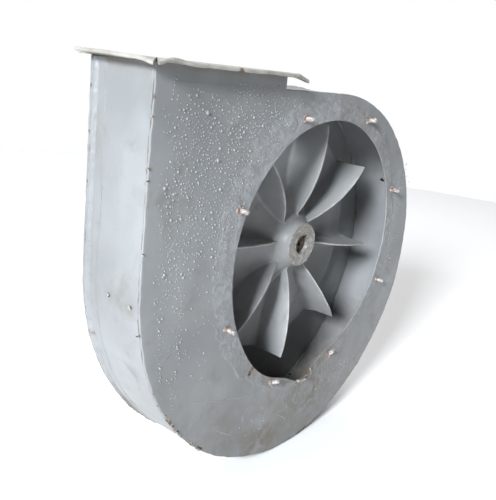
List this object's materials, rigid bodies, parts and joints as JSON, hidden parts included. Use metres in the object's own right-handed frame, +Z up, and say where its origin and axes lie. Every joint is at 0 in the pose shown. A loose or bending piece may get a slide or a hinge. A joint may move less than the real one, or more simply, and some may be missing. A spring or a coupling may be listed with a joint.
{
  "type": "centrifugal blower",
  "caption": "Scroll-case centrifugal blower: an open paddle wheel with radial blades on a keyed shaft in a bearing cartridge, a round inlet ringed by weld studs and a flanged outlet on top.",
  "frame": {"origin": "centre of the inlet opening on the outer face of the front plate", "axes": "+X right seen from the inlet, +Y into the casing along the shaft, +Z up towards the outlet"},
  "size_m": [0.8676, 0.405, 0.778],
  "materials": {
    "casing_paint": "satin, weathered",
    "wheel_paint": "satin, weathered",
    "housing_paint": "satin",
    "stud_steel": "rusty",
    "fastener_steel": "zinc plated",
    "shaft_steel": "turned",
    "bearing_steel": "ground",
    "brass_parts": "machined",
    "seal_rubber": "matt"
  },
  "bodies": {
    "casing": {"front_plate": "casing_paint", "back_plate": "casing_paint", "scroll_wrapper": "casing_paint", "cutoff_plate": "casing_paint", "outlet_flange_left": "casing_paint", "outlet_flange_right": "casing_paint", "outlet_flange_front": "casing_paint", "outlet_flange_back": "casing_paint", "inlet_studs": "stud_steel", "reinforcing_ring": "casing_paint", "bearing_housing": "housing_paint", "grease_nipples": "brass_parts", "front_bearing_cover": "housing_paint", "front_bearing_seal": "seal_rubber", "rear_bearing_cover": "housing_paint", "rear_bearing_seal": "seal_rubber", "front_cover_screws": "fastener_steel", "rear_cover_screws": "fastener_steel", "housing_bolts": "fastener_steel", "housing_washers": "fastener_steel", "housing_nuts": "fastener_steel", "front_bearing_outer_ring": "bearing_steel", "rear_bearing_outer_ring": "bearing_steel"},
    "wheel": {"wheel_back_disc": "wheel_paint", "wheel_hub": "wheel_paint", "blade_1": "wheel_paint", "blade_2": "wheel_paint", "blade_3": "wheel_paint", "blade_4": "wheel_paint", "blade_5": "wheel_paint", "blade_6": "wheel_paint", "blade_7": "wheel_paint", "blade_8": "wheel_paint", "wheel_shaft": "shaft_steel", "wheel_key": "shaft_steel", "hub_set_screw": "fastener_steel", "bearing_spacer": "shaft_steel", "shaft_circlip": "fastener_steel", "front_bearing_inner_ring": "bearing_steel", "rear_bearing_inner_ring": "bearing_steel"},
    "front_ball_set": {"front_bearing_balls": "bearing_steel", "front_bearing_cage": "brass_parts"},
    "rear_ball_set": {"rear_bearing_balls": "bearing_steel", "rear_bearing_cage": "brass_parts"}
  },
  "joints": [
    {"name": "wheel_spin", "type": "hinge", "parent": "casing", "child": "wheel", "pos_m": [0, 0.2, 0], "axis": [0, 1, 0], "continuous": true},
    {"name": "front_balls_orbit", "type": "hinge", "parent": "casing", "child": "front_ball_set", "pos_m": [0, 0.158, 0], "axis": [0, 1, 0], "continuous": true},
    {"name": "rear_balls_orbit", "type": "hinge", "parent": "casing", "child": "rear_ball_set", "pos_m": [0, 0.268, 0], "axis": [0, 1, 0], "continuous": true}
  ],
  "couplings": [
    {"joint": "front_balls_orbit", "follows": "wheel_spin", "ratio": 0.40083},
    {"joint": "rear_balls_orbit", "follows": "wheel_spin", "ratio": 0.40083}
  ]
}
